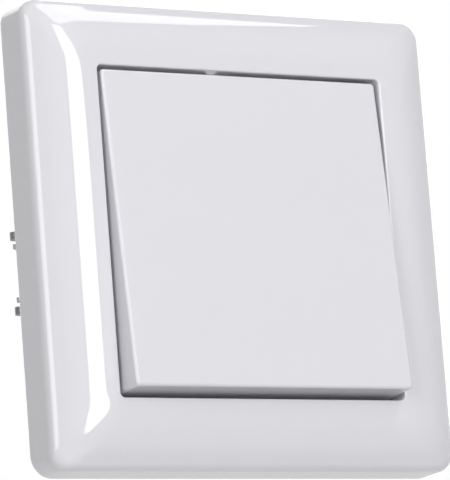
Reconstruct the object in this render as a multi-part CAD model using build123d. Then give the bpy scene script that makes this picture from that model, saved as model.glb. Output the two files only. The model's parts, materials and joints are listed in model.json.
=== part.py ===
from build123d import *
from math import cos, radians, sin, tan
import os

# Flush rocker light switch: cover frame, rocker and the insert behind them.
# Millimetres. +X is right, +Y goes into the wall, +Z is up.
# The origin is the middle of the plane of the wall.

# Cover frame
frame_width = 80.4
frame_rise = 10.6
frame_wall = 2.0
frame_corner = 4.6
side_draft = 3.0
slope_angle = 35.0
shoulder_room = 2.517083
shoulder_radius = 2.2
crown_steps = 6
shoulder_steps = 5
least_radius = 0.2
opening_width = 56.2
land_width = 2.7
land_corner = 5.4
opening_corner = 0.8
opening_wall = 1.6
opening_wall_depth = 7.4
frame_rib = 1.0
frame_rib_pitch = 12.0
frame_rib_count = 4

# Rocker
rocker_gap = 0.6
rocker_proud = 1.9
rocker_draft = 0.15
rocker_depth = 8.2
rocker_skin = 1.8
rocker_wall = 1.5
rocker_edge = 0.5
rocker_corner = 0.6
rocker_rib = 1.0
rocker_rib_depth = 1.2
pivot_behind_face = 6.2
rocker_angle = 4.5

# Yoke that carries the rocker
yoke_width = 26.0
yoke_height = 28.0
yoke_plate = 2.0
yoke_brace = 1.0
yoke_brace_depth = 2.0
yoke_brace_inset = 3.0
yoke_corner = 1.0
cheek_width = 2.0
cheek_radius = 2.8
trunnion_radius = 2.0
bearing_clearance = 0.1
bearing_width = 2.6
bearing_height = 7.2
bearing_mouth = 1.6
side_play = 0.5
tube_radius = 4.0
tube_reach = 12.0
hook_width = 8.0
hook_wall = 1.2
hook_barb = 0.7
hook_clearance = 0.15

# Plunger and its spring
plunger_radius = 2.5
plunger_clearance = 0.1
plunger_guide = 5.5
plunger_out = 1.0
nose_radius = 1.6
plunger_gap = 0.25
spring_wire = 0.35
spring_turns = 5
spring_side_gap = 0.2
spring_end_gap = 0.1

# Support ring
ring_gap = 2.7
ring_thickness = 1.2
ring_corner = 6.0
ring_opening_width = 34.0
ring_opening_height = 31.0
ring_opening_corner = 2.0
screw_pitch = 60.0
slot_length = 5.4
slot_width = 3.6
tab_spread = 25.0
tab_width = 5.0
tab_height = 4.8
tab_clearance = 0.2
bump_width = 2.4
bump_height = 0.7
bump_depth = 0.8
bump_clearance = 0.3

# Housing cover
cover_width = 36.0
cover_height = 43.0
cover_plate = 1.2
cover_corner = 2.5
plug_clearance = 0.2
plug_wall = 1.2
tube_clearance = 1.2
tube_hole_corner = 1.0
pad_width = 4.0
pad_depth = 2.0
pad_offset = 8.0
pad_gap = 0.3

# Base housing
base_radius = 26.0
base_flat = 38.0
base_depth = 30.0
base_edge = 1.0
well_width = 10.4
well_height = 31.0
pocket_wall = 1.8
pocket_width = 9.4
pocket_height = 8.0
pocket_floor = 22.0
strip_clearance = 0.3
wire_radius = 1.75
wire_wall = 0.85

# Contacts
bridge_front = 10.2
bridge_thickness = 1.0
bridge_width = 6.0
bridge_overhang = 1.8
bridge_corner = 1.0
bridge_angle = 6.0
contact_reach = 11.6
moving_tip_radius = 1.5
moving_tip_height = 0.8
fixed_tip_radius = 1.8
fixed_tip_height = 0.7
contact_gap = 0.12
tip_edge = 0.25
knife_gap = 0.1
knife_radius = 0.4
knife_width = 7.0
knife_base = 4.0
strip_thickness = 1.0
strip_width = 4.0
tab_thickness = 0.8
tab_end_gap = 0.4
rail_width = 2.6

# Clamp springs and the pushers that free the wires
clamp_thickness = 0.4
clamp_width = 3.6
clamp_front_gap = 1.2
clamp_tip_gap = 0.3
clamp_wall_gap = 0.2
clamp_end_gap = 0.8
clamp_tip_lift = 1.2
pusher_thickness = 2.0
pusher_width = 3.6
pusher_clearance = 0.1
pusher_proud = 0.8
pusher_travel = 1.2
pusher_lead = 0.4
collar_step = 0.35
collar_height = 1.0
collar_gap = 0.3

# Rivets
rivet_radius = 1.2
rivet_head_radius = 2.0
rivet_head_height = 0.6
rivet_length = 10.0
rivet_clearance = 0.05
rivet_end_gap = 0.5
rivet_spread = 22.0
rivet_rise = 36.8

# Spreader claws and their screws
claw_sheet = 1.3
claw_gap = 0.2
claw_lug_depth = 2.0
claw_lug_reach = 7.0
claw_height = 14.5
claw_arm_front = 3.6
claw_arm_rear = 3.0
claw_arm_inset = 0.45
lobe_radius = 1.4
lobe_reach = 5.6
tooth_sheet = 0.9
tooth_reach = 5.3
tooth_height = 3.4
tooth_gap = 0.8
screw_radius = 1.5
screw_head_radius = 2.8
screw_head_height = 1.8
screw_length = 17.2
screw_offset = 22.4
screw_hole_clearance = 0.2
claw_slot_clearance = 0.4
claw_slot_length = 4.6
recess_width = 0.9
recess_depth = 1.1
recess_length = 3.4

# Places that follow from the sizes above
frame_half = frame_width / 2
ring_width = frame_width - 2 * (frame_wall + ring_gap)
opening_half = opening_width / 2
opening_wall_half = opening_half + opening_wall
crown_room = frame_half - opening_half - land_width - shoulder_room
crown_radius = crown_room / sin(radians(slope_angle))
face_depth = -(frame_rise + rocker_proud)
pivot_depth = face_depth + pivot_behind_face
rocker_rear_width = opening_width - 2 * rocker_gap
rocker_front_width = rocker_rear_width - 2 * rocker_draft
yoke_front = face_depth + rocker_skin
yoke_rear = yoke_front + yoke_plate
tube_end = pivot_depth + tube_reach
cover_front = -(ring_thickness + cover_plate)
rivet_tail = cover_front + rivet_length
bridge_rear = bridge_front + bridge_thickness
bridge_turn = sin(radians(bridge_angle))
moving_tip_rear = bridge_rear + moving_tip_height * cos(radians(bridge_angle))
fixed_front = moving_tip_rear + (contact_reach + moving_tip_radius) * bridge_turn + contact_gap
strip_front = fixed_front + fixed_tip_height
well_floor = strip_front + strip_thickness
pocket_inner = well_width / 2 + pocket_wall
pocket_outer = pocket_inner + pocket_width
tab_outer = pocket_outer - clamp_wall_gap
tab_inner = tab_outer - tab_thickness
clamp_inner = pocket_inner + clamp_wall_gap
clamp_front = well_floor + clamp_front_gap
pusher_inner = clamp_inner + clamp_thickness + collar_step + clamp_wall_gap
pusher_middle = pusher_inner + pusher_thickness / 2
wire_middle = pusher_inner + pusher_thickness + pusher_clearance + wire_wall + wire_radius
claw_inner = base_flat / 2 + claw_gap
claw_outer = claw_inner + claw_lug_reach
claw_pivot_x = claw_inner + claw_sheet / 2
claw_pivot_y = claw_lug_depth + claw_sheet / 2
claw_end = base_depth


# A plane at a depth, seen from the front, with its own up along +Z
def facing(depth):
    return Plane(origin=(0, depth, 0), x_dir=(1, 0, 0), z_dir=(0, -1, 0))


# A block between two depths, with rounded upright corners if wanted
def slab(width, height, rear, front, x=0.0, z=0.0, corner=0.0):
    outline = RectangleRounded(width, height, corner) if corner else Rectangle(width, height)
    return extrude(facing(rear) * Pos(x, z) * outline, amount=rear - front)


def rod(radius, rear, front, x=0.0, z=0.0):
    return extrude(facing(rear) * Pos(x, z) * Circle(radius), amount=rear - front)


# A shape drawn in plan, seen from above, and given a thickness about a height
def plan(outline, z_low, z_high):
    return extrude(Plane.XY.offset(z_low) * outline, amount=z_high - z_low)


def tilted(shape, depth, angle):
    return shape.rotate(Axis((0, depth, 0), (1, 0, 0)), angle)


# Half widths, rises and corner radii of the frame's surface from its rim to the wall.
# An inset gives the hollow side of the moulding.
def frame_levels(inset):
    land_edge = opening_half + land_width
    slope = radians(slope_angle)
    draft = radians(side_draft)
    crown = crown_radius - inset
    crown_rise = frame_rise - crown_radius
    shoulder = max(shoulder_radius - inset, least_radius)
    levels = []
    for step in range(crown_steps + 1):
        turn = slope * step / crown_steps
        levels.append((land_edge + crown * sin(turn), crown_rise + crown * cos(turn)))
    outer = frame_half - inset
    slope_half, slope_rise = levels[-1]
    meet = (slope_rise + slope_half * tan(slope) - outer / tan(draft)) / (tan(slope) - 1 / tan(draft))
    meet_rise = slope_rise - (meet - slope_half) * tan(slope)
    turned = radians(90) - draft - slope
    length = shoulder * tan(turned / 2)
    start_half = meet - length * cos(slope)
    start_rise = meet_rise + length * sin(slope)
    middle_half = start_half - shoulder * sin(slope)
    middle_rise = start_rise - shoulder * cos(slope)
    for step in range(shoulder_steps + 1):
        turn = slope + turned * step / shoulder_steps
        levels.append((middle_half + shoulder * sin(turn), middle_rise + shoulder * cos(turn)))
    levels.append((outer, 0.0))
    sized = []
    for half, rise in levels:
        share = (half - land_edge) / (outer - land_edge)
        sized.append((half, rise, land_corner + (frame_corner - inset - land_corner) * share))
    return sized


def frame_body(inset):
    sections = []
    for half, rise, corner in frame_levels(inset):
        sections.append(facing(-rise) * RectangleRounded(2 * half, 2 * half, corner))
    return loft(sections, ruled=True)


# Cover frame: one moulding, hollow behind, with a wall round its opening and ribs
def make_cover_frame():
    body = frame_body(0.0)
    hollow = frame_body(frame_wall)
    collar = slab(2 * opening_wall_half, 2 * opening_wall_half, 0, -frame_rise)
    hollow = hollow - collar
    inner = 2 * (frame_half - frame_wall)
    seat = slab(inner, inner, 0, opening_wall_depth - frame_rise, corner=frame_corner - frame_wall)
    body = body - hollow - seat
    body = body - slab(opening_width, opening_width, 0, -frame_rise, corner=opening_corner)
    rib_rear = opening_wall_depth - frame_rise
    rib_front = frame_wall / 2 - frame_rise
    reach = frame_half - frame_wall / 2 - opening_wall_half + opening_wall / 2
    middle = opening_wall_half - opening_wall / 2 + reach / 2
    ribs = []
    for step in range(frame_rib_count):
        place = (step - (frame_rib_count - 1) / 2) * frame_rib_pitch
        for side in (-1, 1):
            ribs.append(slab(reach, frame_rib, rib_rear, rib_front, side * middle, place))
            ribs.append(slab(frame_rib, reach, rib_rear, rib_front, place, side * middle))
    body = body + (Part() + ribs & frame_body(frame_wall / 2))
    for x in (-tab_spread / 2, tab_spread / 2):
        for side in (-1, 1):
            z = side * (opening_wall_half + bump_height / 2 - opening_wall / 4)
            depth = opening_wall_depth - frame_rise - bump_clearance
            bump = slab(bump_width, bump_height + opening_wall / 2, depth, depth - bump_depth, x, z)
            body = body + bump
    return body


# Rocker: a shallow cap with a flat face, drafted sides, ribs and four hooks for the yoke
def make_rocker():
    rear = face_depth + rocker_depth
    ends = []
    for depth, width in ((rear, rocker_rear_width), (face_depth, rocker_front_width)):
        ends.append(facing(depth) * RectangleRounded(width, width, rocker_corner))
    body = loft(ends)
    face_edges = body.edges().group_by(Axis.Y)[0]
    body = fillet(face_edges, rocker_edge)
    inside = rocker_front_width - 2 * rocker_wall
    skin_rear = face_depth + rocker_skin
    body = body - slab(inside, inside, rear, skin_rear)
    rib_rear = skin_rear + rocker_rib_depth
    for side in (-1, 1):
        place = side * (yoke_height + inside) / 4
        body = body + slab(inside, rocker_rib, rib_rear, skin_rear, 0, place)
        body = body + slab(rocker_rib, inside, rib_rear, skin_rear, place, 0)
        leg = yoke_height / 2 + hook_clearance + hook_wall / 2
        barb_front = yoke_rear + hook_clearance
        barb_rear = barb_front + hook_barb
        body = body + slab(hook_width, hook_wall, barb_rear, skin_rear, 0, side * leg)
        barb = leg - hook_wall / 2 + (hook_clearance - hook_barb) / 2
        length = hook_barb + hook_clearance
        body = body + slab(hook_width, length, barb_rear, barb_front, 0, side * barb)
    return tilted(body, pivot_depth, -rocker_angle)


# Yoke: plate behind the rocker's face, two cheeks with trunnions, and the plunger's tube
def make_rocker_yoke():
    body = slab(yoke_width, yoke_height, yoke_rear, yoke_front, corner=yoke_corner)
    cheek_x = (yoke_width - cheek_width) / 2
    for side in (-1, 1):
        low = side * cheek_x - cheek_width / 2
        round_end = Plane.YZ.offset(low) * Pos(pivot_depth, 0) * Circle(cheek_radius)
        body = body + extrude(round_end, amount=cheek_width)
        body = body + slab(cheek_width, 2 * cheek_radius, pivot_depth, yoke_front, side * cheek_x)
        length = side_play + bearing_width + side_play
        start = yoke_width / 2 if side > 0 else -yoke_width / 2 - length
        pin = Plane.YZ.offset(start) * Pos(pivot_depth, 0) * Circle(trunnion_radius)
        body = body + extrude(pin, amount=length)
    body = body + rod(tube_radius, tube_end, yoke_front)
    brace_rear = yoke_rear + yoke_brace_depth
    body = body + slab(yoke_brace, yoke_height - 2 * yoke_brace_inset, brace_rear, yoke_rear)
    body = body + slab(yoke_width - cheek_width, yoke_brace, brace_rear, yoke_rear)
    body = body - rod(plunger_radius + plunger_clearance, tube_end, spring_front())
    return tilted(body, pivot_depth, -rocker_angle)


def spring_front():
    return yoke_rear + spring_end_gap


def plunger_tip():
    return bridge_front - plunger_gap


def plunger_head():
    return tube_end - plunger_guide


# Plunger: a pin with a round nose that slides in the yoke's tube
def make_plunger():
    shoulder = tube_end + plunger_out
    body = rod(plunger_radius, shoulder, plunger_head())
    body = body + rod(nose_radius, plunger_tip() - nose_radius, shoulder)
    body = body + Pos(0, plunger_tip() - nose_radius, 0) * Sphere(nose_radius)
    return tilted(body, pivot_depth, -rocker_angle)


# Spring: round wire wound between the bottom of the tube and the plunger's head
def make_plunger_spring():
    mean = plunger_radius - spring_side_gap - spring_wire
    front = spring_front() + spring_end_gap + spring_wire
    rear = plunger_head() - spring_end_gap - spring_wire
    height = rear - front
    coil = Helix(height / spring_turns, height, mean, center=(0, front, 0), direction=(0, 1, 0))
    start = Plane(origin=coil @ 0, z_dir=coil % 0)
    body = sweep(start * Circle(spring_wire), path=coil, is_frenet=True)
    return tilted(body, pivot_depth, -rocker_angle)


# Contact bridge: a flat copper bar that rocks on the knife edge
def make_contact_bridge():
    height = 2 * (contact_reach + bridge_overhang)
    body = slab(bridge_width, height, bridge_rear, bridge_front, corner=bridge_corner)
    return tilted(body, bridge_rear, bridge_angle)


def make_bridge_tip(side):
    rear = bridge_rear + moving_tip_height
    body = rod(moving_tip_radius, rear, bridge_rear, 0, side * contact_reach)
    body = fillet(body.edges().group_by(Axis.Y)[-1], tip_edge)
    return tilted(body, bridge_rear, bridge_angle)


def make_fixed_tip(side):
    body = rod(fixed_tip_radius, strip_front, fixed_front, 0, side * contact_reach)
    return fillet(body.edges().group_by(Axis.Y)[0], tip_edge)


# End of a strip: a tab turned down along the pocket's outer wall
def terminal_tab(side, z):
    x = side * (tab_inner + tab_thickness / 2)
    return slab(tab_thickness, strip_width, pocket_floor - tab_end_gap, strip_front, x, z)


# Fixed contact: a strip on the floor of the well that runs to the right-hand terminal
def make_fixed_contact(side):
    z = side * contact_reach
    left = -(bridge_width / 2)
    width = tab_outer - left
    body = slab(width, strip_width, well_floor, strip_front, left + width / 2, z)
    return body + terminal_tab(1, z)


# Common contact: knife edge under the bridge, joined to both left-hand terminals
def make_common_contact():
    apex = bridge_rear + knife_gap
    half = knife_base / 2
    right = knife_width / 2
    edge = Pos(apex + knife_radius, 0) * Circle(knife_radius)
    flank = Polyline((strip_front, -half), (strip_front, half), (apex + knife_radius, knife_radius),
                     (apex + knife_radius, -knife_radius), close=True)
    ridge = extrude(Plane.YZ.offset(-right) * (edge + make_face(flank)), amount=knife_width)
    body = ridge + slab(right + tab_outer, strip_width, well_floor, strip_front, (right - tab_outer) / 2)
    height = 2 * contact_reach + strip_width
    body = body + slab(rail_width, height, well_floor, strip_front, rail_width / 2 - tab_outer)
    for side in (-1, 1):
        body = body + terminal_tab(-1, side * contact_reach)
    return body


# Clamp spring: a bent leaf whose free leg holds a wire against the tab
def make_terminal_spring(side, z):
    half = clamp_thickness / 2
    back = clamp_inner + half
    top = clamp_front + half
    tip = tab_inner - clamp_tip_gap - half
    low = pocket_floor - clamp_end_gap
    bend = pusher_thickness / 2 + collar_step
    path = FilletPolyline((back, low), (back, top), (pusher_middle + pusher_thickness / 2, top),
                          (tip, low - clamp_tip_lift), radius=bend)
    leaf = make_face(offset(path, half, side=Side.BOTH, closed=True).edges())
    body = plan(leaf, z - clamp_width / 2, z + clamp_width / 2)
    return body if side > 0 else mirror(body, Plane.YZ)


# Pusher: a small bar beside the wire's entry, kept in by its collar
def make_terminal_pusher(side, z):
    front = clamp_front + clamp_thickness + pusher_travel + pusher_lead
    x = side * pusher_middle
    body = slab(pusher_thickness, pusher_width, base_depth + pusher_proud, front, x, z)
    stop = pocket_floor - collar_gap
    wide = pusher_thickness + 2 * collar_step
    return body + slab(wide, pusher_width, stop, stop - collar_height, x, z)


# Support ring: stamped steel with slots for the box screws and tabs for the frame
def make_support_ring():
    body = slab(ring_width, ring_width, 0, -ring_thickness, corner=ring_corner)
    body = body - slab(ring_opening_width, ring_opening_height, 0, -ring_thickness,
                       corner=ring_opening_corner)
    straight = slot_length - slot_width
    for side in (-1, 1):
        place = side * screw_pitch / 2
        for x, z, turn in ((place, 0, 0), (0, place, 90)):
            slot = Pos(x, z) * Rot(0, 0, turn) * SlotCenterToCenter(straight, slot_width)
            body = body - extrude(facing(0) * slot, amount=ring_thickness)
        body = body - rod(screw_radius + screw_hole_clearance, 0, -ring_thickness, side * screw_offset)
        for x in (-tab_spread / 2, tab_spread / 2):
            front = -(ring_thickness + tab_height)
            z = side * (opening_wall_half + tab_clearance + ring_thickness / 2)
            tab = slab(tab_width, ring_thickness, 0, front, x, z)
            wide = bump_width + 2 * bump_clearance
            rear = opening_wall_depth - frame_rise
            window = slab(wide, 2 * ring_thickness, rear, rear - bump_depth - 2 * bump_clearance, x, z)
            body = body + (tab - window)
    for x, z in rivet_places():
        body = body - rod(rivet_radius + rivet_clearance, 0, -ring_thickness, x, z)
    return body


def rivet_places():
    places = []
    for x in (-rivet_spread / 2, rivet_spread / 2):
        for z in (-rivet_rise / 2, rivet_rise / 2):
            places.append((x, z))
    return places


# Housing cover: plate over the ring's opening, with the yoke's bearings and stops
def make_housing_cover():
    body = slab(cover_width, cover_height, -ring_thickness, cover_front, corner=cover_corner)
    plug_width = ring_opening_width - 2 * plug_clearance
    plug_height = ring_opening_height - 2 * plug_clearance
    plug = slab(plug_width, plug_height, 0, -ring_thickness, corner=ring_opening_corner)
    plug = plug - slab(plug_width - 2 * plug_wall, plug_height - 2 * plug_wall, 0, -ring_thickness)
    body = body + plug
    swing = (tube_end - pivot_depth) * sin(radians(rocker_angle))
    hole_width = 2 * (tube_radius + tube_clearance)
    hole_height = hole_width + 2 * swing
    body = body - slab(hole_width, hole_height, 0, cover_front, corner=tube_hole_corner)
    stop_z = yoke_height / 2 - pad_depth / 2 - hook_barb
    dip = (stop_z + pad_depth / 2) * sin(radians(rocker_angle))
    pad_front = yoke_rear + dip + pad_gap
    post_front = pivot_depth - bearing_mouth
    post_x = yoke_width / 2 + side_play + bearing_width / 2
    for side in (-1, 1):
        post = slab(bearing_width, bearing_height, cover_front, post_front, side * post_x)
        hole = Plane.YZ.offset(side * post_x - bearing_width / 2) * Pos(pivot_depth, 0)
        bore = hole * Circle(trunnion_radius + bearing_clearance)
        body = body + (post - extrude(bore, amount=bearing_width))
        for x in (-pad_offset, pad_offset):
            body = body + slab(pad_width, pad_depth, cover_front, pad_front, x, side * stop_z)
    for x, z in rivet_places():
        body = body - rod(rivet_radius + rivet_clearance, -ring_thickness, cover_front, x, z)
    return body


# Base housing: moulded base with the mechanism's well, terminal pockets and wire entries
def make_base_housing():
    outline = Circle(base_radius) & Rectangle(base_flat, 2 * base_radius)
    body = extrude(facing(base_depth) * outline, amount=base_depth)
    body = chamfer(body.edges().group_by(Axis.Y)[-1], base_edge)
    body = body - slab(well_width, well_height, well_floor, 0)
    pocket_x = (pocket_inner + pocket_outer) / 2
    channel = strip_width + 2 * strip_clearance
    shelf = 2 * contact_reach + pocket_height
    body = body - slab(pocket_width, shelf, well_floor, 0, -pocket_x, 0)
    reach = pocket_outer
    body = body - slab(reach, channel, well_floor, 0, -reach / 2, 0)
    guide_width = pusher_thickness + 2 * pusher_clearance
    guide_height = pusher_width + 2 * pusher_clearance
    for level in (-1, 1):
        z = level * contact_reach
        body = body - slab(reach, channel, well_floor, 0, reach / 2, z)
        for side in (-1, 1):
            body = body - slab(pocket_width, pocket_height, pocket_floor, 0, side * pocket_x, z)
            body = body - slab(guide_width, guide_height, base_depth, pocket_floor,
                               side * pusher_middle, z)
            body = body - rod(wire_radius, base_depth, pocket_floor, side * wire_middle, z)
    for x, z in rivet_places():
        body = body - rod(rivet_radius + rivet_clearance, rivet_tail + rivet_end_gap, 0, x, z)
    return body


def make_rivet(x, z):
    body = rod(rivet_radius, rivet_tail, cover_front, x, z)
    head = rod(rivet_head_radius, cover_front, cover_front - rivet_head_height, x, z)
    head = fillet(head.edges().group_by(Axis.Y)[0], rivet_head_height / 2)
    return body + head


# Claw: folded steel, a lug on the screw and two arms that end in a lobe and a tooth
def make_claw(side):
    arm_rear = claw_end - lobe_radius
    lobe_x = claw_inner + lobe_reach - lobe_radius
    rear_x = claw_inner + claw_arm_rear
    outline = make_face(Polyline(
        (claw_inner + claw_arm_inset, claw_lug_depth),
        (claw_outer, claw_lug_depth),
        (claw_outer, claw_lug_depth + claw_sheet),
        (claw_inner + claw_arm_front, claw_lug_depth + 2 * claw_sheet),
        (rear_x, arm_rear - lobe_radius),
        (lobe_x, arm_rear - lobe_radius),
        (lobe_x, claw_end),
        (claw_inner + claw_sheet, claw_end),
        (claw_inner + claw_arm_inset, claw_lug_depth + claw_sheet),
        close=True))
    outline = outline + Pos(lobe_x, arm_rear) * Circle(lobe_radius)
    tooth_inner = claw_inner + claw_sheet
    tooth = make_face(Polyline(
        (tooth_inner, claw_end - tooth_height),
        (rear_x, claw_end - tooth_height),
        (claw_inner + tooth_reach, arm_rear),
        (rear_x, claw_end),
        (tooth_inner, claw_end),
        close=True))
    half = claw_height / 2
    high = half - claw_sheet
    tooth_high = high - tooth_gap
    lug = plan(Pos((claw_pivot_x + claw_outer) / 2, claw_pivot_y)
               * Rectangle(claw_outer - claw_pivot_x, claw_sheet), -high, high)
    roll = plan(Pos(claw_pivot_x, claw_pivot_y) * Circle(claw_sheet / 2), -half, half)
    fold = Pos((tooth_inner + rear_x) / 2, claw_end - tooth_sheet / 2)
    fold_face = fold * Rectangle(rear_x - tooth_inner, tooth_sheet)
    body = lug + roll
    for low, top in ((high, half), (-half, -high)):
        body = body + plan(outline, low, top)
    for low, top in ((tooth_high - tooth_sheet, tooth_high), (-tooth_high, tooth_sheet - tooth_high)):
        body = body + plan(tooth, low, top)
    for low, top in ((tooth_high, high), (-high, -tooth_high)):
        body = body + plan(fold_face, low, top)
    straight = claw_slot_length - 2 * (screw_radius + claw_slot_clearance)
    slot = SlotCenterToCenter(straight, 2 * (screw_radius + claw_slot_clearance))
    rear = claw_lug_depth + claw_sheet
    body = body - extrude(facing(rear) * Pos(screw_offset, 0) * slot, amount=claw_sheet)
    return body if side > 0 else mirror(body, Plane.YZ)


# Claw screw: pan head with a cross recess on the ring, shank through the claw's lug
def make_claw_screw(side):
    x = side * screw_offset
    front = -(ring_thickness + screw_head_height)
    body = rod(screw_radius, screw_length - ring_thickness, -ring_thickness, x)
    head = rod(screw_head_radius, -ring_thickness, front, x)
    head = fillet(head.edges().group_by(Axis.Y)[0], screw_head_height / 2)
    head = head - slab(recess_length, recess_width, front + recess_depth, front, x)
    head = head - slab(recess_width, recess_length, front + recess_depth, front, x)
    return body + head


# Every piece of the switch by name
pieces = {
    "cover_frame": make_cover_frame(),
    "rocker": make_rocker(),
    "rocker_yoke": make_rocker_yoke(),
    "plunger": make_plunger(),
    "plunger_spring": make_plunger_spring(),
    "contact_bridge": make_contact_bridge(),
    "common_contact": make_common_contact(),
    "housing_cover": make_housing_cover(),
    "base_housing": make_base_housing(),
    "support_ring": make_support_ring(),
}
for word, level in (("upper", 1), ("lower", -1)):
    pieces["bridge_tip_" + word] = make_bridge_tip(level)
    pieces["fixed_tip_" + word] = make_fixed_tip(level)
    pieces["fixed_contact_" + word] = make_fixed_contact(level)
    for hand, side in (("left", -1), ("right", 1)):
        z = level * contact_reach
        pieces["terminal_spring_" + word + "_" + hand] = make_terminal_spring(side, z)
        pieces["terminal_pusher_" + word + "_" + hand] = make_terminal_pusher(side, z)
for hand, side in (("left", -1), ("right", 1)):
    pieces["claw_" + hand] = make_claw(side)
    pieces["claw_screw_" + hand] = make_claw_screw(side)
for number, (x, z) in enumerate(rivet_places(), start=1):
    pieces["rivet_" + str(number)] = make_rivet(x, z)

os.makedirs("parts", exist_ok=True)
for name, shape in pieces.items():
    export_step(shape, os.path.join("parts", name + ".step"))
    print(name, round(shape.volume, 2))
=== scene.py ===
import json
from math import cos, pi, radians, sin, tan

import bmesh
import bpy
from mathutils import Matrix, Vector


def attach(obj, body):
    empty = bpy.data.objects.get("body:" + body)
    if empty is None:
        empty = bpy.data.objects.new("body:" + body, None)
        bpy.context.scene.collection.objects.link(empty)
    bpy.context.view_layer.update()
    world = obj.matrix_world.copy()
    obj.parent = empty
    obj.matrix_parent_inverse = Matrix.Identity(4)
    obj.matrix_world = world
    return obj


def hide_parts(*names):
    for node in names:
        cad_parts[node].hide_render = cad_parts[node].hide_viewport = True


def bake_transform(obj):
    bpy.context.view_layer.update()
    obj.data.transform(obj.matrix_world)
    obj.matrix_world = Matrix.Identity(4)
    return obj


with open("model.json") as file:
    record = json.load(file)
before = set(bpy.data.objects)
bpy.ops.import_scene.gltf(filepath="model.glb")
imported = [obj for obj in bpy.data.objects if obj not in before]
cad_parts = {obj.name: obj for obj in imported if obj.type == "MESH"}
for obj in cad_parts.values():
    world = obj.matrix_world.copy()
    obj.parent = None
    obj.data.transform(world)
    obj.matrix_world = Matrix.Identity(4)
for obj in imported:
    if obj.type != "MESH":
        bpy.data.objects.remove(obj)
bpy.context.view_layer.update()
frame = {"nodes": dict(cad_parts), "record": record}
nodes = frame["nodes"]
scene = bpy.context.scene
scene.view_settings.view_transform = "Standard"
mm = 0.001
mergeGap = 0.000001  # points closer than this become one
print("loaded", len(nodes), "pieces")


# A socket that takes part in plain sums: wire * 2 + 1 adds the Math nodes
class Wire:
    def __init__(self, graph, socket):
        self.graph = graph
        self.socket = socket

    def sum(self, operation, *values):
        return self.graph.add("ShaderNodeMath", {"operation": operation}, dict(enumerate(values)))

    def __add__(self, other):
        return self.sum("ADD", self, other)

    def __radd__(self, other):
        return self.sum("ADD", other, self)

    def __sub__(self, other):
        return self.sum("SUBTRACT", self, other)

    def __rsub__(self, other):
        return self.sum("SUBTRACT", other, self)

    def __mul__(self, other):
        return self.sum("MULTIPLY", self, other)

    def __rmul__(self, other):
        return self.sum("MULTIPLY", other, self)

    def __truediv__(self, other):
        return self.sum("DIVIDE", self, other)

    def __mod__(self, other):
        return self.sum("FLOORED_MODULO", self, other)

    def __lt__(self, other):
        return self.sum("LESS_THAN", self, other)


# A node tree with one method for every kind of node
class Graph:
    def __init__(self, tree):
        self.tree = tree

    def add(self, kind, settings, values, output=0):
        node = self.tree.nodes.new(kind)
        for name, value in settings.items():
            target = node
            parts = name.split(".")
            for part in parts[:-1]:
                target = getattr(target, part)
            setattr(target, parts[-1], value)
        for key, value in values.items():
            if isinstance(value, Wire):
                self.tree.links.new(value.socket, node.inputs[key])
            else:
                node.inputs[key].default_value = value
        return Wire(self, node.outputs[output]) if len(node.outputs) else None

    def also(self, wire, output):
        return Wire(self, wire.socket.node.outputs[output])


# Materials
glossLevel = 0.8
noiseMiddle = 0.5


def newMaterial(name):
    material = bpy.data.materials.new(name)
    material.use_nodes = True
    graph = Graph(material.node_tree)
    graph.shader = material.node_tree.nodes["Principled BSDF"]
    graph.shader.inputs["Specular IOR Level"].default_value = glossLevel
    graph.place = graph.add("ShaderNodeTexCoord", {}, {}, "Object")
    return material, graph


def noise(graph, scale, detail, roughness=0.5, place=None):
    values = {
        "Vector": place or graph.place, "Scale": scale, "Detail": detail, "Roughness": roughness,
    }
    return graph.add("ShaderNodeTexNoise", {}, values, "Fac")


def stretched(graph, x, y, z):
    return graph.add("ShaderNodeMapping", {}, {"Vector": graph.place, "Scale": (x, y, z)})


def mixColor(graph, factor, first, second):
    values = {0: factor, 6: (*first, 1), 7: (*second, 1)}
    return graph.add("ShaderNodeMix", {"data_type": "RGBA"}, values, 2)


def connect(graph, wire, name):
    graph.tree.links.new(wire.socket, graph.shader.inputs[name])


def bump(graph, height, strength, distance):
    values = {"Strength": strength, "Distance": distance, "Height": height}
    connect(graph, graph.add("ShaderNodeBump", {}, values), "Normal")


plasticLook = {
    "cover": {"color": (0.712, 0.708, 0.744), "shade": (0.700, 0.697, 0.732), "rough": 0.022,
              "spread": 0.014, "grain": 900, "depth": 0.000004, "strength": 0.05},
    "inner": {"color": (0.60, 0.60, 0.59), "shade": (0.56, 0.56, 0.55), "rough": 0.42,
              "spread": 0.12, "grain": 2600, "depth": 0.00002, "strength": 0.25},
    "base": {"color": (0.52, 0.52, 0.50), "shade": (0.45, 0.45, 0.43), "rough": 0.5,
             "spread": 0.15, "grain": 1700, "depth": 0.00003, "strength": 0.35},
    "plunger": {"color": (0.30, 0.11, 0.04), "shade": (0.25, 0.09, 0.03), "rough": 0.38,
                "spread": 0.1, "grain": 2200, "depth": 0.00002, "strength": 0.2},
    "pusher": {"color": (0.62, 0.17, 0.03), "shade": (0.55, 0.14, 0.02), "rough": 0.36,
               "spread": 0.1, "grain": 2200, "depth": 0.00002, "strength": 0.2},
}
plasticGrain = {"cloudShare": 12, "cloudDetail": 3.0, "detail": 4.0, "roughness": 0.6}


def makePlastic(name):
    look, size = plasticLook[name], plasticGrain
    material, graph = newMaterial(name + "Plastic")
    cloud = noise(graph, look["grain"] / size["cloudShare"], size["cloudDetail"])
    grain = noise(graph, look["grain"], size["detail"], size["roughness"])
    connect(graph, mixColor(graph, cloud, look["color"], look["shade"]), "Base Color")
    connect(graph, look["rough"] + (cloud - noiseMiddle) * look["spread"], "Roughness")
    bump(graph, grain, look["strength"], look["depth"])
    return material


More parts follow.
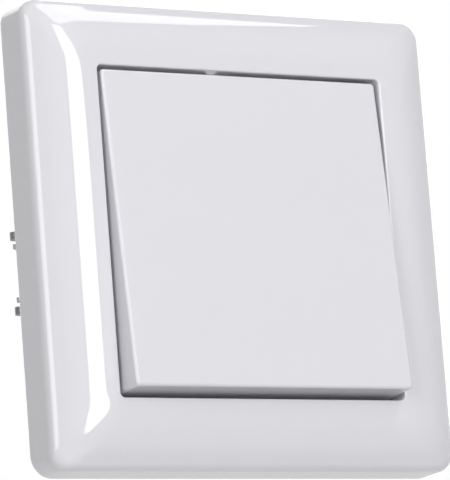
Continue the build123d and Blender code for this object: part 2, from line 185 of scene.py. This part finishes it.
metalLook = {
    "zinc": {"color": (0.62, 0.63, 0.65), "dull": (0.48, 0.49, 0.51), "rough": 0.3,
             "spread": 0.22, "draw": (60, 60, 900), "strength": 0.3},
    "claw": {"color": (0.21, 0.21, 0.22), "dull": (0.11, 0.11, 0.12), "rough": 0.42,
             "spread": 0.25, "draw": (500, 80, 900), "strength": 0.35},
    "screw": {"color": (0.64, 0.64, 0.62), "dull": (0.50, 0.50, 0.48), "rough": 0.26,
              "spread": 0.2, "draw": (400, 900, 400), "strength": 0.25},
    "rivet": {"color": (0.60, 0.60, 0.60), "dull": (0.47, 0.47, 0.47), "rough": 0.3,
              "spread": 0.2, "draw": (600, 600, 600), "strength": 0.25},
    "spring": {"color": (0.58, 0.58, 0.60), "dull": (0.42, 0.42, 0.44), "rough": 0.24,
               "spread": 0.2, "draw": (900, 200, 900), "strength": 0.25},
    "brass": {"color": (0.80, 0.60, 0.28), "dull": (0.66, 0.46, 0.20), "rough": 0.28,
              "spread": 0.2, "draw": (100, 900, 900), "strength": 0.3},
    "copper": {"color": (0.86, 0.46, 0.32), "dull": (0.70, 0.34, 0.22), "rough": 0.28,
               "spread": 0.2, "draw": (900, 900, 100), "strength": 0.3},
    "silver": {"color": (0.88, 0.87, 0.84), "dull": (0.74, 0.73, 0.70), "rough": 0.2,
               "spread": 0.15, "draw": (900, 900, 900), "strength": 0.2},
}
metalGrain = {
    "drawScale": 1.0, "drawDetail": 5.0, "drawRoughness": 0.65, "drawSpread": 0.1,
    "patchScale": 350, "patchDetail": 3.0, "share": 0.5, "depth": 0.00002,
}


def makeMetal(name):
    look, size = metalLook[name], metalGrain
    material, graph = newMaterial(name + "Metal")
    graph.shader.inputs["Metallic"].default_value = 1.0
    place = stretched(graph, *look["draw"])
    drawn = noise(graph, size["drawScale"], size["drawDetail"], size["drawRoughness"], place)
    patch = noise(graph, size["patchScale"], size["patchDetail"])
    mask = drawn * size["share"] + patch * size["share"]
    connect(graph, mixColor(graph, mask, look["color"], look["dull"]), "Base Color")
    rough = look["rough"] + (patch - noiseMiddle) * look["spread"]
    connect(graph, rough + (drawn - noiseMiddle) * size["drawSpread"], "Roughness")
    bump(graph, drawn, look["strength"], size["depth"])
    return material


coverPlastic = makePlastic("cover")
innerPlastic = makePlastic("inner")
basePlastic = makePlastic("base")
plungerPlastic = makePlastic("plunger")
pusherPlastic = makePlastic("pusher")
zincMetal = makeMetal("zinc")
clawMetal = makeMetal("claw")
screwMetal = makeMetal("screw")
rivetMetal = makeMetal("rivet")
springMetal = makeMetal("spring")
brassMetal = makeMetal("brass")
copperMetal = makeMetal("copper")
silverMetal = makeMetal("silver")
finishes = {
    "cover_plastic": coverPlastic, "inner_plastic": innerPlastic, "base_plastic": basePlastic,
    "plunger_plastic": plungerPlastic, "pusher_plastic": pusherPlastic,
    "spring_steel": springMetal, "copper": copperMetal, "brass": brassMetal,
    "contact_silver": silverMetal, "zinc_steel": zincMetal, "claw_steel": clawMetal,
    "screw_steel": screwMetal, "rivet_steel": rivetMetal,
}
for row in frame["record"]["subparts"]:
    for slot in nodes[row["node"]].material_slots:
        slot.material = finishes[row["material_slot"]]
print("materials", len(finishes))


# A Geometry Nodes tree with its named inputs and one output
def newTree(name, inputs, output):
    tree = bpy.data.node_groups.new(name, "GeometryNodeTree")
    for label, kind in inputs.items():
        tree.interface.new_socket(label, in_out="INPUT", socket_type="NodeSocket" + kind)
    tree.interface.new_socket(output, in_out="OUTPUT", socket_type="NodeSocketGeometry")
    return tree, Graph(tree)


# Every tree ends with real instances and its finish
def endTree(graph, body, finish, output):
    body = graph.add("GeometryNodeRealizeInstances", {}, {"Geometry": body})
    body = graph.add("GeometryNodeSetMaterial", {}, {"Geometry": body, "Material": finish})
    graph.add("NodeGroupOutput", {}, {output: body})


# Square mouldings: a profile goes round a square whose corners have a radius of their own
# at every point of the profile. One tree makes the cover frame and the rocker.
mouldingSteps = {"Straight Steps": 10, "Corner Steps": 14, "Bend Steps": 7}


def mouldingTree():
    steps = dict.fromkeys(mouldingSteps, "Int")
    inputs = {"Profile": "Geometry", **steps, "Finish": "Material"}
    tree, graph = newTree("squareMoulding", inputs, "Moulding")
    profile = graph.add("NodeGroupInput", {}, {}, "Profile")
    straight = graph.also(profile, "Straight Steps")
    corner = graph.also(profile, "Corner Steps")
    bends = graph.also(profile, "Bend Steps")
    finish = graph.also(profile, "Finish")

    # the path round the square, its points numbered
    side = straight + corner
    values = {"Resolution": side * 4}
    ring = graph.add("GeometryNodeCurvePrimitiveCircle", {"mode": "RADIUS"}, values)
    index = graph.add("GeometryNodeInputIndex", {}, {})
    local = index % side
    quarter = (index - local) / side
    onArc = 1 - (local < straight)
    reach = local / straight * 2 - 1
    along = reach.sum("MINIMUM", reach, 1.0)
    turn = (local - straight) / corner * (pi / 2) * onArc
    flat = graph.add("ShaderNodeCombineXYZ", {}, {"X": 1.0, "Z": along})
    ends = {"X": turn.sum("COSINE", turn), "Z": turn.sum("SINE", turn)}
    bent = graph.add("ShaderNodeCombineXYZ", {}, ends)
    spin = quarter * (-pi / 2)
    stored = {"data_type": "FLOAT_VECTOR", "domain": "POINT"}
    named = ring
    for name, wire in (("square", flat), ("round", bent)):
        values = {"Vector": wire, "Angle": spin}
        turned = graph.add("ShaderNodeVectorRotate", {"rotation_type": "Y_AXIS"}, values)
        values = {"Geometry": named, "Name": name, "Value": turned}
        named = graph.add("GeometryNodeStoreNamedAttribute", stored, values)

    # the profile, with its bends rounded and its place stored
    line = graph.add("GeometryNodeMeshToCurve", {}, {"Mesh": profile})
    bend = graph.add("GeometryNodeInputNamedAttribute", {"data_type": "FLOAT"}, {"Name": "bend"})
    values = {"Curve": line, "Count": bends, "Radius": bend, "Limit Radius": True}
    soft = graph.add("GeometryNodeFilletCurve", {"mode": "POLY"}, values)
    place = graph.add("GeometryNodeInputPosition", {}, {})
    values = {"Geometry": soft, "Name": "section", "Value": place}
    soft = graph.add("GeometryNodeStoreNamedAttribute", stored, values)
    body = graph.add("GeometryNodeCurveToMesh", {}, {"Curve": named, "Profile Curve": soft})

    # each point goes to its own rounded square
    read = {"data_type": "FLOAT_VECTOR"}
    square = graph.add("GeometryNodeInputNamedAttribute", read, {"Name": "square"})
    rounded = graph.add("GeometryNodeInputNamedAttribute", read, {"Name": "round"})
    section = graph.add("GeometryNodeInputNamedAttribute", read, {"Name": "section"})
    half = graph.add("ShaderNodeSeparateXYZ", {}, {"Vector": section}, "X")
    depth = graph.also(half, "Y")
    radius = graph.also(half, "Z")
    parts = []
    for wire, size in ((square, half - radius), (rounded, radius)):
        values = {"Vector": wire, "Scale": size}
        parts.append(graph.add("ShaderNodeVectorMath", {"operation": "SCALE"}, values))
    level = graph.add("ShaderNodeCombineXYZ", {}, {"Y": depth})
    spot = graph.add("ShaderNodeVectorMath", {"operation": "ADD"}, {0: parts[0], 1: parts[1]})
    spot = graph.add("ShaderNodeVectorMath", {"operation": "ADD"}, {0: spot, 1: level})
    body = graph.add("GeometryNodeSetPosition", {}, {"Geometry": body, "Position": spot})
    values = {"Geometry": body, "Distance": mergeGap}
    body = graph.add("GeometryNodeMergeByDistance", {}, values)
    for name in ("square", "round", "section", "bend"):
        body = graph.add("GeometryNodeRemoveAttribute", {}, {"Geometry": body, "Name": name})
    endTree(graph, body, finish, "Moulding")
    return tree


def identifiers(tree):
    items = tree.interface.items_tree
    return {item.name: item.identifier for item in items if item.in_out == "INPUT"}


# Runs a tree on a mesh and returns its result as a plain mesh
def runTree(tree, mesh, values, name):
    source = bpy.data.objects.new(name + "Source", mesh)
    scene.collection.objects.link(source)
    modifier = source.modifiers.new("shape", "NODES")
    modifier.node_group = tree
    keys = identifiers(tree)
    for key, value in values.items():
        modifier[keys[key]] = value
    graph = bpy.context.evaluated_depsgraph_get()
    result = bpy.data.meshes.new_from_object(source.evaluated_get(graph), depsgraph=graph)
    source.modifiers.remove(modifier)
    bpy.data.objects.remove(source)
    return result


# A profile's points are (half width, depth, corner radius, bend radius) in millimetres
def profileMesh(points, closed):
    mesh = bpy.data.meshes.new("profile")
    spots = [(half * mm, depth * mm, radius * mm) for half, depth, radius, bend in points]
    edges = [(n, n + 1) for n in range(len(spots) - 1)]
    if closed:
        edges.append((len(spots) - 1, 0))
    mesh.from_pydata(spots, edges, [])
    bends = [bend * mm for half, depth, radius, bend in points]
    mesh.attributes.new("bend", "FLOAT", "POINT").data.foreach_set("value", bends)
    return mesh


def addPiece(name, mesh, material=None):
    piece = bpy.data.objects.new(name, mesh)
    scene.collection.objects.link(piece)
    if material:
        mesh.materials.clear()
        mesh.materials.append(material)
    return piece


# The mesh of a finished work mesh, which is freed
def meshOf(work, name):
    mesh = bpy.data.meshes.new(name)
    work.to_mesh(mesh)
    work.free()
    return mesh


def outward(mesh):
    work = bmesh.new()
    work.from_mesh(mesh)
    bmesh.ops.remove_doubles(work, verts=work.verts, dist=mergeGap / 2)
    bmesh.ops.recalc_face_normals(work, faces=work.faces)
    work.to_mesh(mesh)
    work.free()


# Adds the meshes of a list to the first, which is returned
def joined(meshes):
    work = bmesh.new()
    for mesh in meshes:
        work.from_mesh(mesh)
    work.to_mesh(meshes[0])
    work.free()
    return meshes[0]


# One mesh of blocks, each given in millimetres by the ends of its x, depth and height
def blockMesh(name, blocks):
    work = bmesh.new()
    for ends in blocks:
        size = [(high - low) * mm for low, high in ends]
        middle = Vector([(high + low) / 2 * mm for low, high in ends])
        place = Matrix.Translation(middle) @ Matrix.Diagonal((*size, 1))
        bmesh.ops.create_cube(work, size=1.0, matrix=place)
    return meshOf(work, name)


def shadeByAngle(piece, degrees):
    for polygon in piece.data.polygons:
        polygon.use_smooth = True
    work = bmesh.new()
    work.from_mesh(piece.data)
    for edge in work.edges:
        edge.smooth = edge.is_manifold and edge.calc_face_angle(0.0) < radians(degrees)
    work.to_mesh(piece.data)
    work.free()


# Flat runs of a profile get a point near each end, so that their shading stays flat
def supported(points, gap):
    spots = [Vector(point[:2]) for point in points]
    count = len(points)
    reach = []
    for n in range(count):
        ahead = (spots[(n + 1) % count] - spots[n]).normalized()
        behind = (spots[n - 1] - spots[n]).normalized()
        corner = ahead.angle(behind)
        reach.append(points[n][3] / tan(corner / 2) + gap)
    result = []
    for n in range(count):
        after = (n + 1) % count
        length = (spots[after] - spots[n]).length
        result.append(points[n])
        if length < reach[n] + reach[after] + gap:
            continue
        for share in (reach[n] / length, 1 - reach[after] / length):
            mixed = [a + (b - a) * share for a, b in zip(points[n], points[after])]
            result.append((*mixed[:3], 0.0))
    return result


def turnPoints(middle, radius, first, last, steps):
    points = []
    for step in range(steps + 1):
        turn = radians(first + (last - first) * step / steps)
        points.append((middle[0] + radius * sin(turn), middle[1] + radius * cos(turn)))
    return points


# Cover frame
coverFrame = {
    "half": 40.2, "rise": 10.6, "opening": 28.1, "land": 2.7, "slope": 35.0, "draft": 3.0,
    "crown": 12.0, "crownSteps": 18, "shoulder": 2.6, "wall": 2.0, "collar": 1.6,
    "collarDepth": 7.4, "outerCorner": 3.8, "shoulderCorner": 3.2, "landCorner": 5.4,
    "openingCorner": 0.8, "collarCorner": 1.8, "rimEdge": 0.5, "rearEdge": 0.25,
    "support": 0.15, "sharpAngle": 35, "ribWidth": 1.0, "ribPitch": 12.0, "ribCount": 4,
    "ribSink": 1.0, "bumpSpread": 12.5, "bumpWidth": 2.4, "bumpRear": -3.5,
    "bumpFront": -4.3, "bumpInner": 28.9, "bumpOuter": 30.4,
}


# The crown's arc and the corner where the slope meets the side, that far inside the surface
def frameSurface(inset):
    size = coverFrame
    slope, draft = radians(size["slope"]), radians(size["draft"])
    middle = (size["opening"] + size["land"], size["rise"] - size["crown"])
    arc = turnPoints(middle, size["crown"] - inset, 0.0, size["slope"], size["crownSteps"])
    half, rise = arc[-1]
    outer = size["half"] - inset
    meet = (rise + half * tan(slope) - outer / tan(draft)) / (tan(slope) - 1 / tan(draft))
    return arc, (meet, rise - (meet - half) * tan(slope))


# Copies of one rib along every side of the square
def ribTree():
    inputs = {"Rib": "Geometry", "Count": "Int", "Pitch": "Float", "Finish": "Material"}
    tree, graph = newTree("ribsRoundSquare", inputs, "Ribs")
    rib = graph.add("NodeGroupInput", {}, {}, "Rib")
    count = graph.also(rib, "Count")
    points = graph.add("GeometryNodeMeshLine", {}, {"Count": count * 4})
    index = graph.add("GeometryNodeInputIndex", {}, {})
    local = index % count
    turn = (index - local) / count * (pi / 2)
    height = (local - (count - 1) / 2) * graph.also(rib, "Pitch")
    spot = graph.add("ShaderNodeCombineXYZ", {}, {"Z": height})
    values = {"Vector": spot, "Angle": turn}
    spot = graph.add("ShaderNodeVectorRotate", {"rotation_type": "Y_AXIS"}, values)
    points = graph.add("GeometryNodeSetPosition", {}, {"Geometry": points, "Position": spot})
    spin = graph.add("ShaderNodeCombineXYZ", {}, {"Y": turn})
    values = {"Points": points, "Instance": rib, "Rotation": spin}
    body = graph.add("GeometryNodeInstanceOnPoints", {}, values)
    endTree(graph, body, graph.also(rib, "Finish"), "Ribs")
    return tree


# One rib on the right: its front follows the moulding, sunk into it
def frameRib():
    size = coverFrame
    arc, shoulder = frameSurface(size["ribSink"])
    rear = size["rise"] - size["collarDepth"]
    start = size["opening"] + size["collar"] / 2
    outer = size["half"] - size["ribSink"]
    outline = [(start, -rear), (start, size["ribSink"] - size["rise"])]
    outline += [(half, -rise) for half, rise in arc] + [(shoulder[0], -shoulder[1]), (outer, -rear)]
    work = bmesh.new()
    rows = []
    reach = size["ribWidth"] / 2 * mm
    for side in (-reach, reach):
        rows.append([work.verts.new((half * mm, depth * mm, side)) for half, depth in outline])
    work.faces.new(rows[0])
    work.faces.new(rows[1][::-1])
    for n in range(len(outline)):
        after = (n + 1) % len(outline)
        work.faces.new((rows[0][n], rows[1][n], rows[1][after], rows[0][after]))
    bmesh.ops.recalc_face_normals(work, faces=work.faces)
    return meshOf(work, "frameRib")


def frameBumps():
    size = coverFrame
    blocks = []
    for x in (-size["bumpSpread"], size["bumpSpread"]):
        for side in (-1, 1):
            ends = sorted((side * size["bumpInner"], side * size["bumpOuter"]))
            half = size["bumpWidth"] / 2
            blocks.append(((x - half, x + half), (size["bumpFront"], size["bumpRear"]), ends))
    return blockMesh("frameBumps", blocks)


def makeCoverFrame(tree):
    size = coverFrame
    arc, shoulder = frameSurface(0.0)
    innerArc, innerShoulder = frameSurface(size["wall"])
    inner = size["half"] - size["wall"]
    collar = size["opening"] + size["collar"]
    rear = size["rise"] - size["collarDepth"]
    edge = size["rearEdge"]
    landEdge = size["opening"] + size["land"]

    # the corners tighten from the land to the shoulder
    def cornerAt(half):
        share = (half - landEdge) / (shoulder[0] - landEdge)
        return size["landCorner"] + (size["shoulderCorner"] - size["landCorner"]) * share

    points = [
        (size["opening"], -rear, size["openingCorner"], edge),
        (size["opening"], -size["rise"], size["openingCorner"], size["rimEdge"]),
        *[(half, -rise, cornerAt(half), 0.0) for half, rise in arc],
        (shoulder[0], -shoulder[1], size["shoulderCorner"], size["shoulder"]),
        (size["half"], 0.0, size["outerCorner"], edge),
        (inner, 0.0, size["outerCorner"] - size["wall"], edge),
        (innerShoulder[0], -innerShoulder[1], size["outerCorner"] - size["wall"], edge),
        *[(half, -rise, cornerAt(half) - size["wall"] / 2, 0.0)
          for half, rise in reversed(innerArc)],
        (collar, size["wall"] - size["rise"], size["collarCorner"], edge),
        (collar, -rear, size["collarCorner"], edge),
    ]
    points = supported(points, size["support"])
    values = {**mouldingSteps, "Finish": coverPlastic}
    mesh = runTree(tree, profileMesh(points, True), values, "coverFrame")
    outward(mesh)
    values = {"Count": size["ribCount"], "Pitch": size["ribPitch"] * mm, "Finish": coverPlastic}
    ribs = runTree(ribTree(), frameRib(), values, "frameRibs")
    piece = addPiece("coverFrameShell", joined([mesh, ribs, frameBumps()]), coverPlastic)
    shadeByAngle(piece, size["sharpAngle"])
    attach(piece, "insert")
    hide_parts("cover_frame")


moulding = mouldingTree()
makeCoverFrame(moulding)
print("cover frame")


# Rocker: the same moulding as a cap, with its ribs and the hooks for the yoke, then tilted
rockerCap = {
    "face": -12.5, "rear": -4.3, "frontHalf": 27.35, "rearHalf": 27.5, "corner": 0.6,
    "edge": 0.5, "rearEdge": 0.2, "support": 0.12, "sharpAngle": 35, "skin": 1.8,
    "wall": 1.5, "ribDepth": 1.2, "ribWidth": 1.0, "ribPlace": 19.925, "sink": 0.4,
    "hookWidth": 8.0, "leg": (14.15, 15.35), "legRear": -7.85, "barb": (13.45, 14.3),
    "barbFront": -8.55, "pivot": -6.3, "tilt": -4.5, "topTrim": 0.26,
}
pivot = Matrix.Translation((0, rockerCap["pivot"] * mm, 0))
rockerTurn = pivot @ Matrix.Rotation(radians(rockerCap["tilt"]), 4, "X") @ pivot.inverted()


def makeRocker(tree):
    size = rockerCap
    skin = size["face"] + size["skin"]
    inside = size["frontHalf"] - size["wall"]
    points = [
        (0.0, size["face"], 0.0, 0.0),
        (size["frontHalf"], size["face"], size["corner"], size["edge"]),
        (size["rearHalf"], size["rear"], size["corner"], size["rearEdge"]),
        (inside, size["rear"], size["corner"] / 2, size["rearEdge"]),
        (inside, skin, size["corner"] / 2, size["rearEdge"]),
        (0.0, skin, 0.0, 0.0),
    ]
    points = supported(points, size["support"])[:-2]
    values = {**mouldingSteps, "Finish": coverPlastic}
    mesh = runTree(tree, profileMesh(points, False), values, "rocker")
    outward(mesh)
    half = size["ribWidth"] / 2
    deep = (skin - size["sink"], skin + size["ribDepth"])
    hook = (-size["hookWidth"] / 2, size["hookWidth"] / 2)
    blocks = []
    for side in (-1, 1):
        across = (side * size["ribPlace"] - half, side * size["ribPlace"] + half)
        blocks.append(((-inside, inside), deep, across))
        blocks.append((across, deep, (-inside, inside)))
        leg = sorted(side * end for end in size["leg"])
        barb = sorted(side * end for end in size["barb"])
        blocks.append((hook, (skin - size["sink"], size["legRear"]), leg))
        blocks.append((hook, (size["barbFront"], size["legRear"]), barb))
    mesh = joined([mesh, blockMesh("rockerRibs", blocks)])
    # The upper wall stands a little lower, which opens the gap above it as in the photo
    for corner in mesh.vertices:
        if corner.co.z > (inside - size["wall"]) * mm:
            corner.co.z -= size["topTrim"] * mm
    mesh.transform(rockerTurn)
    piece = addPiece("rockerCap", mesh, coverPlastic)
    shadeByAngle(piece, size["sharpAngle"])
    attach(piece, "rocker")
    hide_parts("rocker")


makeRocker(moulding)
print("rocker")


# Claw screws: the CAD head on a turned core with a rolled thread
clawScrew = {
    "headRear": -1.2, "slack": 0.05, "coreStart": -1.6, "end": 16.0, "core": 1.24, "tip": 0.95,
    "tipLength": 0.35, "coreSides": 32, "pitch": 0.5, "threadStart": -0.7, "threadEnd": 15.7,
    "ridge": 0.26, "ridgeSides": 4, "crest": 1.5, "stepsPerTurn": 24, "offset": 22.4,
    "sharpAngle": 40,
}


# A bar wound along the depth axis: a thread's ridge or a spring's wire
def windingTree():
    lengths = dict.fromkeys(("Radius", "Pitch", "Length", "Start", "Bar Radius"), "Float")
    counts = dict.fromkeys(("Steps", "Bar Sides"), "Int")
    inputs = {"Mesh": "Geometry", **lengths, **counts, "Finish": "Material"}
    tree, graph = newTree("winding", inputs, "Winding")
    radius = graph.add("NodeGroupInput", {}, {}, "Radius")
    length = graph.also(radius, "Length")
    turns = length / graph.also(radius, "Pitch")
    values = {"Resolution": graph.also(radius, "Steps"), "Rotations": turns,
              "Start Radius": radius, "End Radius": radius, "Height": length}
    line = graph.add("GeometryNodeCurveSpiral", {}, values)
    line = graph.add("GeometryNodeSetCurveNormal", {"mode": "Z_UP"}, {"Curve": line})
    values = {"Resolution": graph.also(radius, "Bar Sides"),
              "Radius": graph.also(radius, "Bar Radius")}
    bar = graph.add("GeometryNodeCurvePrimitiveCircle", {"mode": "RADIUS"}, values)
    values = {"Curve": line, "Profile Curve": bar, "Fill Caps": True}
    body = graph.add("GeometryNodeCurveToMesh", {}, values)
    start = graph.add("ShaderNodeCombineXYZ", {}, {"Y": graph.also(radius, "Start")})
    values = {"Geometry": body, "Translation": start, "Rotation": (-pi / 2, 0, 0)}
    body = graph.add("GeometryNodeTransform", {}, values)
    endTree(graph, body, graph.also(radius, "Finish"), "Winding")
    return tree


# A solid turned about the depth axis from (depth, radius) rings in millimetres
def turnedMesh(name, rings, sides):
    work = bmesh.new()
    turns = [2 * pi * n / sides for n in range(sides)]
    rows = []
    for depth, radius in rings:
        ring = [(radius * mm * cos(turn), depth * mm, radius * mm * sin(turn)) for turn in turns]
        rows.append([work.verts.new(spot) for spot in ring])
    work.faces.new(rows[0])
    work.faces.new(rows[-1][::-1])
    for low, high in zip(rows, rows[1:]):
        for n in range(sides):
            after = (n + 1) % sides
            work.faces.new((low[n], high[n], high[after], low[after]))
    bmesh.ops.recalc_face_normals(work, faces=work.faces)
    return meshOf(work, name)


# The front of a CAD piece up to a depth, merged and closed again
def frontOf(node, depth, name):
    work = bmesh.new()
    work.from_mesh(node.data)
    work.transform(node.matrix_world)
    bmesh.ops.remove_doubles(work, verts=work.verts, dist=mergeGap)
    behind = [vert for vert in work.verts if vert.co.y > depth * mm]
    bmesh.ops.delete(work, geom=behind, context="VERTS")
    bmesh.ops.holes_fill(work, edges=[edge for edge in work.edges if edge.is_boundary], sides=0)
    bmesh.ops.recalc_face_normals(work, faces=work.faces)
    return meshOf(work, name)


def makeClawScrew(tree, hand, side):
    size = clawScrew
    name = "clawScrew" + hand.capitalize()
    head = frontOf(nodes["claw_screw_" + hand], size["headRear"] + size["slack"], name)
    rings = [(size["coreStart"], size["core"]), (size["end"] - size["tipLength"], size["core"]),
             (size["end"], size["tip"])]
    core = turnedMesh("screwCore", rings, size["coreSides"])
    values = {"Radius": (size["crest"] - size["ridge"]) * mm, "Pitch": size["pitch"] * mm,
              "Length": (size["threadEnd"] - size["threadStart"]) * mm,
              "Start": size["threadStart"] * mm, "Bar Radius": size["ridge"] * mm,
              "Bar Sides": size["ridgeSides"], "Steps": size["stepsPerTurn"],
              "Finish": screwMetal}
    thread = runTree(tree, bpy.data.meshes.new("threadSeed"), values, "thread")
    outward(thread)
    for mesh in (core, thread):
        mesh.transform(Matrix.Translation((side * size["offset"] * mm, 0, 0)))
    piece = addPiece(name, joined([head, core, thread]), screwMetal)
    shadeByAngle(piece, size["sharpAngle"])
    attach(piece, "claw_screw_" + hand)
    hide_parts("claw_screw_" + hand)


winding = windingTree()
makeClawScrew(winding, "left", -1)
makeClawScrew(winding, "right", 1)
print("claw screws")


# Plunger spring: a wound wire, tilted with the rocker
plungerSpring = {
    "front": -8.15, "rear": -0.25, "radius": 1.95, "wire": 0.35, "turns": 5, "sides": 16,
    "stepsPerTurn": 36, "sharpAngle": 40,
}


def makePlungerSpring(tree):
    size = plungerSpring
    length = size["rear"] - size["front"]
    values = {"Radius": size["radius"] * mm, "Pitch": length / size["turns"] * mm,
              "Length": length * mm, "Start": size["front"] * mm,
              "Bar Radius": size["wire"] * mm, "Bar Sides": size["sides"],
              "Steps": size["stepsPerTurn"], "Finish": springMetal}
    mesh = runTree(tree, bpy.data.meshes.new("springSeed"), values, "spring")
    outward(mesh)
    mesh.transform(rockerTurn)
    piece = addPiece("plungerSpring", mesh, springMetal)
    shadeByAngle(piece, size["sharpAngle"])
    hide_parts("plunger_spring")
    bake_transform(piece)


makePlungerSpring(winding)
print("plunger spring")


# Floor, light and camera
stageLook = {
    "floorDrop": 0.62, "floorSize": 12.0, "floorColor": (0.6, 0.6, 0.6), "floorRough": 0.9,
    "floorLift": 0.84, "ambient": 0.06, "boxDistance": 1.3,
}


# A white that only camera, glossy and transmission rays see
def seenWhite(graph):
    ray = graph.add("ShaderNodeLightPath", {}, {}, "Is Camera Ray")
    seen = ray.sum("MAXIMUM", ray, graph.also(ray, "Is Glossy Ray"))
    return seen.sum("MAXIMUM", seen, graph.also(ray, "Is Transmission Ray"))


def makeStage():
    half = stageLook["floorSize"] / 2
    low = -stageLook["floorDrop"]
    corners = [(-half, -half, low), (half, -half, low), (half, half, low), (-half, half, low)]
    mesh = bpy.data.meshes.new("floor")
    mesh.from_pydata(corners, [], [(0, 1, 2, 3)])
    floor = addPiece("floor", mesh)
    material, graph = newMaterial("paleFloor")
    graph.shader.inputs["Base Color"].default_value = (*stageLook["floorColor"], 1)
    graph.shader.inputs["Roughness"].default_value = stageLook["floorRough"]
    graph.shader.inputs["Emission Color"].default_value = (1, 1, 1, 1)
    # the lift makes the lit floor white, and its shadow stays below white
    connect(graph, seenWhite(graph) * stageLook["floorLift"], "Emission Strength")
    mesh.materials.append(material)
    world = bpy.data.worlds.new("studio")
    scene.world = world
    world.use_nodes = True
    graph = Graph(world.node_tree)
    level = seenWhite(graph) * (1 - stageLook["ambient"]) + stageLook["ambient"]
    back = world.node_tree.nodes["Background"]
    back.inputs["Color"].default_value = (1, 1, 1, 1)
    world.node_tree.links.new(level.socket, back.inputs["Strength"])


# Soft boxes, each a glowing sheet cut to the corners given: azimuth from the front
# towards the right, then the height angle, as seen from the switch
softBoxes = {
    "front": {"glow": 5.2, "mirrored": True, "corners": (
        (0, -13), (7, -12), (20, -1), (27, 6), (27, 12), (20, 18), (13, 28), (11, 37), (0, 37))},
    "top": {"glow": 3.6, "mirrored": True, "corners": (
        (6, 40), (14, 39), (22, 42), (38, 49), (50, 52.5), (58, 54), (65, 55.6), (72, 56.4),
        (80.4, 57), (80.4, 62), (0, 62))},
    "left": {"glow": 3.6, "mirrored": True, "corners": (
        (-75, -6), (-45, -6), (-45, 32), (-75, 32))},
    "rear": {"glow": 2.4, "mirrored": True, "corners": (
        (120, 5), (200, 5), (200, 50), (120, 50))},
    "fill": {"glow": 0.95, "mirrored": False, "corners": (
        (-40, -22), (-2, -22), (-2, 28), (-40, 28))},
}


def makeLights():
    for name, box in softBoxes.items():
        spots = []
        for azimuth, height in box["corners"]:
            azimuth, height = radians(azimuth), radians(height)
            level = cos(height)
            spots.append(Vector((sin(azimuth) * level, -cos(azimuth) * level, sin(height))))
        middle = sum(spots, Vector()).normalized()
        # the sheet is flat and faces the switch
        flat = [spot * (stageLook["boxDistance"] / spot.dot(middle)) for spot in spots]
        mesh = bpy.data.meshes.new(name + "Box")
        mesh.from_pydata(flat, [], [tuple(range(len(flat)))])
        mesh.update()
        if mesh.polygons[0].normal.dot(middle) > 0:
            mesh.flip_normals()
        light = addPiece(name + "Box", mesh)
        light.visible_camera = False
        light.visible_glossy = box["mirrored"]
        material = bpy.data.materials.new(name + "Glow")
        material.use_nodes = True
        graph = Graph(material.node_tree)
        facing = 1 - graph.add("ShaderNodeNewGeometry", {}, {}, "Backfacing")
        glow = graph.add("ShaderNodeEmission", {}, {"Strength": facing * box["glow"]})
        output = material.node_tree.nodes["Material Output"]
        material.node_tree.links.new(glow.socket, output.inputs["Surface"])
        mesh.materials.append(material)


cameraFit = {
    "place": (-0.39861, -0.63543, -0.13346), "right": (0.85127, -0.51916, -0.07626),
    "up": (-0.02805, -0.19015, 0.98135), "lens": 334.24, "sensor": 36.0, "clipStart": 0.01,
}


def makeCamera():
    data = bpy.data.cameras.new("view")
    data.lens = cameraFit["lens"]
    data.sensor_width = cameraFit["sensor"]
    data.clip_start = cameraFit["clipStart"]
    camera = bpy.data.objects.new("view", data)
    scene.collection.objects.link(camera)
    right = Vector(cameraFit["right"]).normalized()
    back = right.cross(Vector(cameraFit["up"])).normalized()
    up = back.cross(right)
    turn = Matrix((right, up, back)).transposed().to_4x4()
    camera.matrix_world = Matrix.Translation(cameraFit["place"]) @ turn
    scene.camera = camera


makeStage()
makeLights()
makeCamera()
print("stage, lights and camera")
